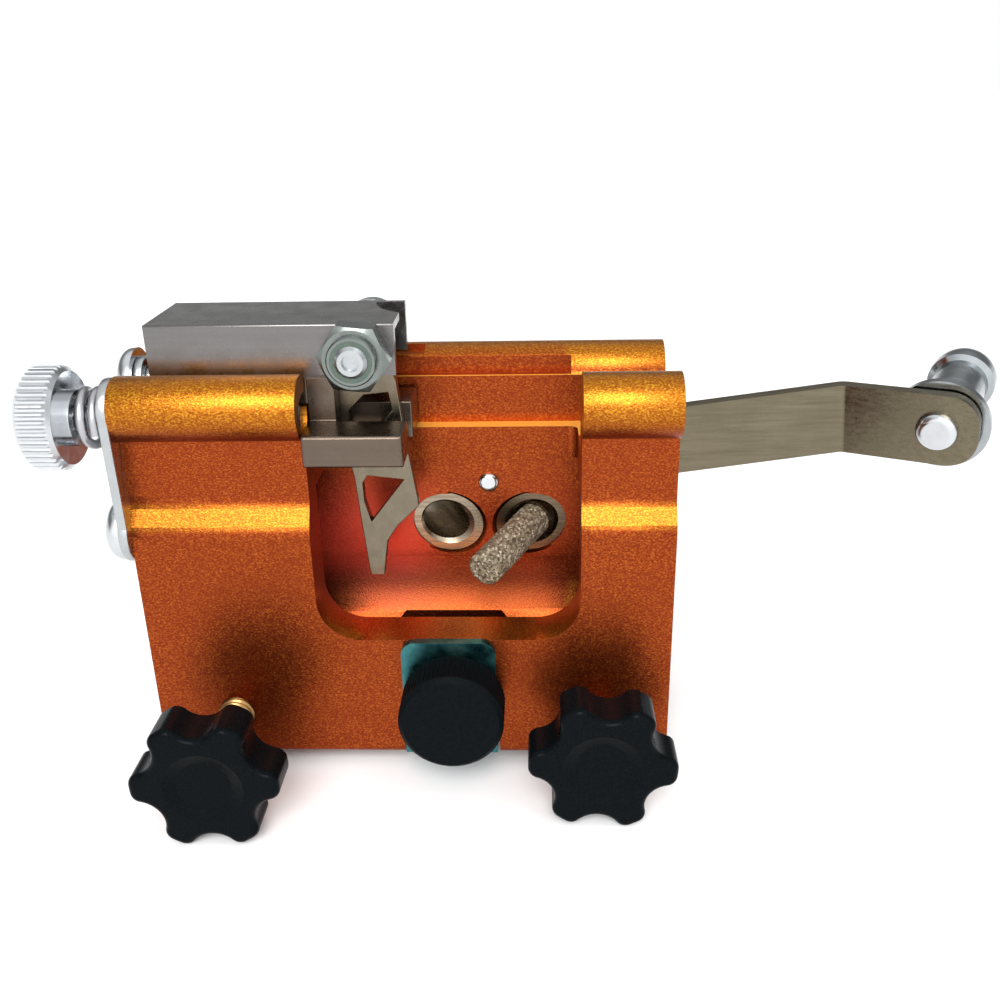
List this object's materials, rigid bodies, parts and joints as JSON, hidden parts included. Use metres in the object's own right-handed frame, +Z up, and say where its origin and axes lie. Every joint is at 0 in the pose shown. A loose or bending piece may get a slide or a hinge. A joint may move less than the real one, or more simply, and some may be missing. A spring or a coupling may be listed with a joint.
{
  "type": "bar mounted chainsaw sharpener",
  "caption": "Hand-cranked sharpener that clamps over a saw bar: slotted extrusion with a window, angled grinding stone, hanging pawl, thumb-screw slider, star knobs and a stop plate.",
  "frame": {"origin": "midway between the two clamps at the body's underside, in the plane of the fixed rear jaw face", "axes": "+X along the extrusion towards the crank, +Y from the user towards the rear, +Z up from the open side of the bar gap"},
  "size_m": [0.1655, 0.0806, 0.0754],
  "materials": {
    "orange_anodised": "sand-blasted and anodised",
    "mill_aluminium": "mill finish",
    "bush_steel": "turned",
    "bright_steel": "bright plated",
    "zinc_steel": "zinc plated",
    "spring_steel": "drawn wire",
    "passivated_steel": "blue-green passivated",
    "arm_steel": "brushed",
    "stamped_steel": "stamped",
    "brass": "turned",
    "stone": "gritty",
    "gloss_black": "moulded",
    "matt_black": "knurled",
    "green_nylon": "moulded",
    "white_nylon": "moulded"
  },
  "bodies": {
    "body": {"main_body": "orange_anodised", "left_bush": "bush_steel", "right_bush": "bush_steel", "bush_lock_pin": "bright_steel", "end_plate": "zinc_steel", "end_screw_rear": "bright_steel", "end_screw_lower": "bright_steel", "slider_stop_screw": "bright_steel", "adjust_spring": "spring_steel"},
    "slider": {"slider_channel": "mill_aluminium", "slider_block": "mill_aluminium", "pawl_guide": "mill_aluminium", "drive_nut": "brass", "pivot_bolt": "zinc_steel", "pivot_nut": "bright_steel", "nut_insert": "green_nylon", "pivot_spacer_front": "mill_aluminium", "pivot_spacer_rear": "mill_aluminium"},
    "thumb_screw": {"adjust_knob": "bright_steel", "adjust_screw": "zinc_steel", "adjust_clip": "spring_steel"},
    "pawl": {"pawl": "stamped_steel"},
    "stroke": {"thrust_washer": "white_nylon"},
    "crank": {"drive_shaft": "bright_steel", "stone_grub_screw": "spring_steel", "grinding_stone": "stone", "stone_shank": "bright_steel", "crank_hub": "bush_steel", "hub_grub_screw": "spring_steel", "crank_arm": "arm_steel", "crank_screw": "bright_steel", "handle_rivet": "bright_steel", "handle_washer": "zinc_steel"},
    "handle": {"crank_handle": "bright_steel"},
    "left_pad": {"clamp_pad_left": "zinc_steel"},
    "left_clamp": {"star_knob_left": "gloss_black", "clamp_stud_left": "zinc_steel"},
    "right_pad": {"clamp_pad_right": "zinc_steel"},
    "right_clamp": {"star_knob_right": "gloss_black", "clamp_stud_right": "zinc_steel"},
    "stop": {"bar_stop": "passivated_steel"},
    "lock_washer": {"lock_washer": "zinc_steel"},
    "lock": {"lock_knob": "matt_black", "lock_screw": "zinc_steel"}
  },
  "joints": [
    {"name": "thumb_turn", "type": "hinge", "parent": "body", "child": "thumb_screw", "pos_m": [-0.045, -0.01235, 0.059], "axis": [-1, 0, 0], "range_deg": [0, 1800]},
    {"name": "slider_slide", "type": "slide", "parent": "body", "child": "slider", "axis": [1, 0, 0], "range_m": [0, 0.0035]},
    {"name": "pawl_swing", "type": "hinge", "parent": "slider", "child": "pawl", "pos_m": [-0.0069, -0.004, 0.0675], "axis": [0, -1, 0], "range_deg": [0, 16]},
    {"name": "stone_stroke", "type": "slide", "parent": "body", "child": "stroke", "axis": [0.4924, 0.8529, 0.1736], "range_m": [0, 0.015]},
    {"name": "crank_turn", "type": "hinge", "parent": "stroke", "child": "crank", "pos_m": [0.019, 0.0042, 0.0338], "axis": [0.4924, 0.8529, 0.1736], "continuous": true},
    {"name": "handle_turn", "type": "hinge", "parent": "crank", "child": "handle", "pos_m": [0.09346, 0.02143, 0.04498], "axis": [0.4924, 0.8529, 0.1736], "continuous": true},
    {"name": "left_pad_slide", "type": "slide", "parent": "body", "child": "left_pad", "axis": [0, 1, 0], "range_m": [0, 0.006]},
    {"name": "left_clamp_turn", "type": "hinge", "parent": "left_pad", "child": "left_clamp", "pos_m": [-0.0301, -0.02, 0.008], "axis": [0, 1, 0], "range_deg": [0, 2160]},
    {"name": "right_pad_slide", "type": "slide", "parent": "body", "child": "right_pad", "axis": [0, 1, 0], "range_m": [-0.0048, 0.0011]},
    {"name": "right_clamp_turn", "type": "hinge", "parent": "right_pad", "child": "right_clamp", "pos_m": [0.0301, -0.02, 0.008], "axis": [0, 1, 0], "range_deg": [-1728, 396]},
    {"name": "stop_slide", "type": "slide", "parent": "body", "child": "stop", "axis": [0, 0, 1], "range_m": [-0.004, 0.003]},
    {"name": "lock_slide", "type": "slide", "parent": "body", "child": "lock_washer", "axis": [0, -1, 0], "range_m": [0, 0.0012]},
    {"name": "lock_turn", "type": "hinge", "parent": "lock_washer", "child": "lock", "pos_m": [0.0066, -0.02, 0.0128], "axis": [0, -1, 0], "range_deg": [0, 540]}
  ],
  "couplings": [
    {"joint": "slider_slide", "follows": "thumb_turn", "m_per_rad": 0.0001114},
    {"joint": "left_pad_slide", "follows": "left_clamp_turn", "m_per_rad": 0.00015914},
    {"joint": "right_pad_slide", "follows": "right_clamp_turn", "m_per_rad": 0.00015914},
    {"joint": "lock_slide", "follows": "lock_turn", "m_per_rad": 0.00012731}
  ]
}
